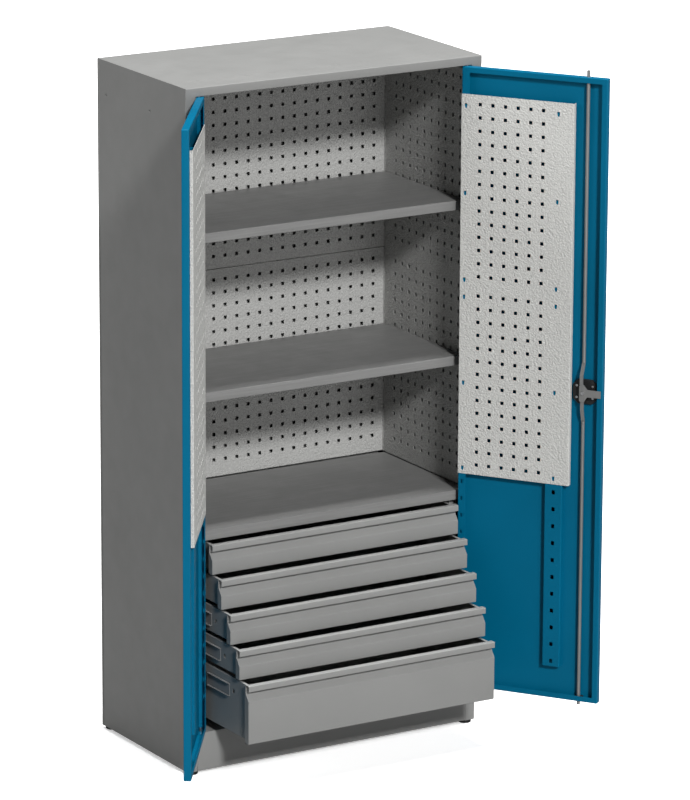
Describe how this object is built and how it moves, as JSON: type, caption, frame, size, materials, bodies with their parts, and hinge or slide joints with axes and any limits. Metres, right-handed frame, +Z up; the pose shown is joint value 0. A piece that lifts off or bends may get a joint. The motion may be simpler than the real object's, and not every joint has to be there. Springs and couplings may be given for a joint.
{
  "type": "two-door workshop cabinet",
  "caption": "Tall sheet-steel workshop cabinet: hinged doors with perforated tool panels, rod lock, perforated linings, shelves and a block of pull-out drawers on telescopic runners.",
  "frame": {"origin": "on the floor, under the middle of the carcass (doors and drawers left out of the count)", "axes": "+X to the cabinet's right as seen from behind its front, that is to the right of someone facing it; -Y out of the front; +Z up"},
  "size_m": [1.36, 0.8512, 1.96],
  "materials": {
    "carcass_grey": "satin powder coat",
    "shelf_grey": "satin powder coat",
    "drawer_grey": "satin powder coat",
    "lining_grey": "hammered powder coat",
    "panel_light": "hammered powder coat",
    "door_blue": "satin powder coat",
    "lock_black": "moulded, matt",
    "glide_black": "moulded, matt",
    "rod_steel": "drawn, dull",
    "zinc_steel": "zinc plated",
    "runner_steel": "zinc plated",
    "cylinder_nickel": "nickel plated"
  },
  "bodies": {
    "cabinet": {"side_panel_left": "carcass_grey", "side_panel_right": "carcass_grey", "back_sheet": "carcass_grey", "top_panel": "carcass_grey", "floor_panel": "carcass_grey", "plinth_front": "carcass_grey", "plinth_rear": "carcass_grey", "glides": "glide_black", "glide_nuts": "zinc_steel", "pivot_bearings": "zinc_steel", "back_lining_upper": "lining_grey", "back_lining_lower": "lining_grey", "side_lining_left": "lining_grey", "side_lining_right": "lining_grey", "shelf_upper": "shelf_grey", "shelf_middle": "shelf_grey", "drawer_block_cover": "shelf_grey", "shelf_clips": "zinc_steel", "drawer_upright_left": "shelf_grey", "drawer_upright_right": "shelf_grey", "runner_rails": "runner_steel"},
    "door_left": {"door_left_skin": "door_blue", "door_left_pins": "zinc_steel", "door_left_rail": "door_blue", "door_left_panel_lower": "panel_light", "door_left_panel_upper": "panel_light"},
    "door_right": {"door_right_skin": "door_blue", "door_right_pins": "zinc_steel", "door_right_rail": "door_blue", "door_right_panel_lower": "panel_light", "door_right_panel_upper": "panel_light", "lock_housing": "lock_black", "lock_escutcheon": "lock_black", "rod_guides": "lock_black"},
    "lock": {"lock_spindle": "zinc_steel", "lock_cam": "rod_steel", "handle_lever": "lock_black", "key_cylinder": "cylinder_nickel"},
    "lock_rod_upper": {"rod_upper": "rod_steel"},
    "lock_rod_lower": {"rod_lower": "rod_steel"},
    "drawer_1": {"drawer_1_box": "drawer_grey", "drawer_1_front": "drawer_grey", "drawer_1_slides": "runner_steel"},
    "runner_1": {"runner_1_middles": "runner_steel"},
    "drawer_2": {"drawer_2_box": "drawer_grey", "drawer_2_front": "drawer_grey", "drawer_2_slides": "runner_steel"},
    "runner_2": {"runner_2_middles": "runner_steel"},
    "drawer_3": {"drawer_3_box": "drawer_grey", "drawer_3_front": "drawer_grey", "drawer_3_slides": "runner_steel"},
    "runner_3": {"runner_3_middles": "runner_steel"},
    "drawer_4": {"drawer_4_box": "drawer_grey", "drawer_4_front": "drawer_grey", "drawer_4_slides": "runner_steel"},
    "runner_4": {"runner_4_middles": "runner_steel"},
    "drawer_5": {"drawer_5_box": "drawer_grey", "drawer_5_front": "drawer_grey", "drawer_5_slides": "runner_steel"},
    "runner_5": {"runner_5_middles": "runner_steel"}
  },
  "joints": [
    {"name": "door_left_swing", "type": "hinge", "parent": "cabinet", "child": "door_left", "pos_m": [-0.43, -0.2435, 0.123], "axis": [0, 0, -1], "range_deg": [-35, 0]},
    {"name": "door_right_swing", "type": "hinge", "parent": "cabinet", "child": "door_right", "pos_m": [0.43, -0.2435, 0.123], "axis": [0, 0, 1], "range_deg": [-35, 0]},
    {"name": "lock_turn", "type": "hinge", "parent": "door_right", "child": "lock", "pos_m": [0.64136, -0.54536, 1.033], "axis": [0.8192, 0.5736, 0], "range_deg": [0, 90]},
    {"name": "rod_upper_slide", "type": "slide", "parent": "door_right", "child": "lock_rod_upper", "axis": [0, 0, -1], "range_m": [0, 0.019]},
    {"name": "rod_lower_slide", "type": "slide", "parent": "door_right", "child": "lock_rod_lower", "axis": [0, 0, 1], "range_m": [0, 0.019]},
    {"name": "drawer_1_slide", "type": "slide", "parent": "cabinet", "child": "drawer_1", "axis": [0, -1, 0], "range_m": [-0.05, 0.31]},
    {"name": "runner_1_slide", "type": "slide", "parent": "cabinet", "child": "runner_1", "axis": [0, -1, 0], "range_m": [-0.025, 0.155]},
    {"name": "drawer_2_slide", "type": "slide", "parent": "cabinet", "child": "drawer_2", "axis": [0, -1, 0], "range_m": [-0.1, 0.26]},
    {"name": "runner_2_slide", "type": "slide", "parent": "cabinet", "child": "runner_2", "axis": [0, -1, 0], "range_m": [-0.05, 0.13]},
    {"name": "drawer_3_slide", "type": "slide", "parent": "cabinet", "child": "drawer_3", "axis": [0, -1, 0], "range_m": [-0.15, 0.21]},
    {"name": "runner_3_slide", "type": "slide", "parent": "cabinet", "child": "runner_3", "axis": [0, -1, 0], "range_m": [-0.075, 0.105]},
    {"name": "drawer_4_slide", "type": "slide", "parent": "cabinet", "child": "drawer_4", "axis": [0, -1, 0], "range_m": [-0.2, 0.16]},
    {"name": "runner_4_slide", "type": "slide", "parent": "cabinet", "child": "runner_4", "axis": [0, -1, 0], "range_m": [-0.1, 0.08]},
    {"name": "drawer_5_slide", "type": "slide", "parent": "cabinet", "child": "drawer_5", "axis": [0, -1, 0], "range_m": [-0.25, 0.11]},
    {"name": "runner_5_slide", "type": "slide", "parent": "cabinet", "child": "runner_5", "axis": [0, -1, 0], "range_m": [-0.125, 0.055]}
  ],
  "couplings": [
    {"joint": "rod_upper_slide", "follows": "lock_turn", "m_per_rad": 0.012095},
    {"joint": "rod_lower_slide", "follows": "lock_turn", "m_per_rad": 0.012095},
    {"joint": "runner_1_slide", "follows": "drawer_1_slide", "ratio": 0.5},
    {"joint": "runner_2_slide", "follows": "drawer_2_slide", "ratio": 0.5},
    {"joint": "runner_3_slide", "follows": "drawer_3_slide", "ratio": 0.5},
    {"joint": "runner_4_slide", "follows": "drawer_4_slide", "ratio": 0.5},
    {"joint": "runner_5_slide", "follows": "drawer_5_slide", "ratio": 0.5}
  ]
}
